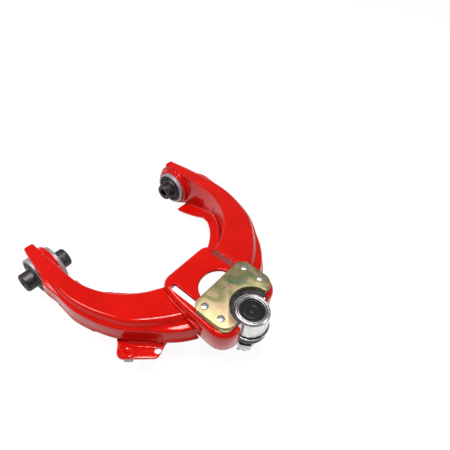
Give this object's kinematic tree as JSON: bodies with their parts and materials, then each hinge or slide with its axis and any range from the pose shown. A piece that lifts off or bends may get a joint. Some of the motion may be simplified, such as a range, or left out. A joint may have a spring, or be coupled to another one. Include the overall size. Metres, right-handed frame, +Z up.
{
  "type": "suspension control arm",
  "caption": "Horseshoe suspension control arm of stamped steel with two rubber bushings and a sliding ball joint for camber adjustment.",
  "frame": {"origin": "midway between the two bushings, on the pivot axis", "axes": "+X along the pivot axis towards the near bushing, +Y outboard to the ball joint, +Z up"},
  "size_m": [0.256, 0.2567, 0.0743],
  "materials": {
    "red_powder_coat": "gloss",
    "phosphated_sleeve": "satin phosphate",
    "bush_rubber": "matte",
    "blackened_steel": "black oxide",
    "yellow_zinc": "yellow chromate over zinc",
    "bright_zinc": "bright zinc",
    "turned_steel": "fine turned",
    "acetal_seat": "moulded",
    "black_label": "printed film",
    "boot_rubber": "satin"
  },
  "bodies": {
    "arm": {"near_leg_shell": "red_powder_coat", "far_leg_shell": "red_powder_coat", "near_leg_cover": "red_powder_coat", "far_leg_cover": "red_powder_coat", "saddle": "red_powder_coat", "bracket_tab": "red_powder_coat", "weld_nut": "bright_zinc", "weld_beads": "red_powder_coat", "near_sleeve": "phosphated_sleeve", "far_sleeve": "phosphated_sleeve", "near_rubber": "bush_rubber", "far_rubber": "bush_rubber"},
    "near_pivot": {"near_inner_tube": "blackened_steel"},
    "far_pivot": {"far_inner_tube": "blackened_steel"},
    "slider": {"adjuster_plate": "yellow_zinc", "lower_plate": "yellow_zinc", "clamp_studs": "bright_zinc", "clamp_washers": "bright_zinc", "clamp_nuts": "bright_zinc", "joint_housing": "turned_steel", "housing_weld": "blackened_steel", "bearing_seat": "acetal_seat", "preload_washer": "bright_zinc", "end_cap": "turned_steel", "cap_label": "black_label", "boot_clamp": "bright_zinc"},
    "boot": {"dust_boot": "boot_rubber"},
    "stud_collar": {"boot_collar": "boot_rubber"},
    "stud": {"ball_stud": "turned_steel", "castle_nut": "bright_zinc", "cotter_pin": "bright_zinc"}
  },
  "joints": [
    {"name": "near_bush_twist", "type": "hinge", "parent": "arm", "child": "near_pivot", "pos_m": [0.1015, 0, 0], "axis": [1, 0, 0], "range_deg": [-25, 25], "stiffness_Nm_per_rad": 40},
    {"name": "far_bush_twist", "type": "hinge", "parent": "arm", "child": "far_pivot", "pos_m": [-0.1015, 0, 0], "axis": [1, 0, 0], "range_deg": [-25, 25], "stiffness_Nm_per_rad": 40},
    {"name": "camber_slide", "type": "slide", "parent": "arm", "child": "slider", "axis": [0, 1, 0], "range_m": [-0.026, 0.002]},
    {"name": "stud_pitch", "type": "hinge", "parent": "slider", "child": "boot", "pos_m": [0.012, 0.209, 0.0234], "axis": [1, 0, 0], "range_deg": [-20, 20], "deforming": ["dust_boot"]},
    {"name": "stud_roll", "type": "hinge", "parent": "boot", "child": "stud_collar", "pos_m": [0.012, 0.209, 0.0234], "axis": [0, 1, 0], "range_deg": [-12, 12]},
    {"name": "stud_spin", "type": "hinge", "parent": "stud_collar", "child": "stud", "pos_m": [0.012, 0.209, 0.0234], "axis": [0, 0, 1], "continuous": true}
  ]
}
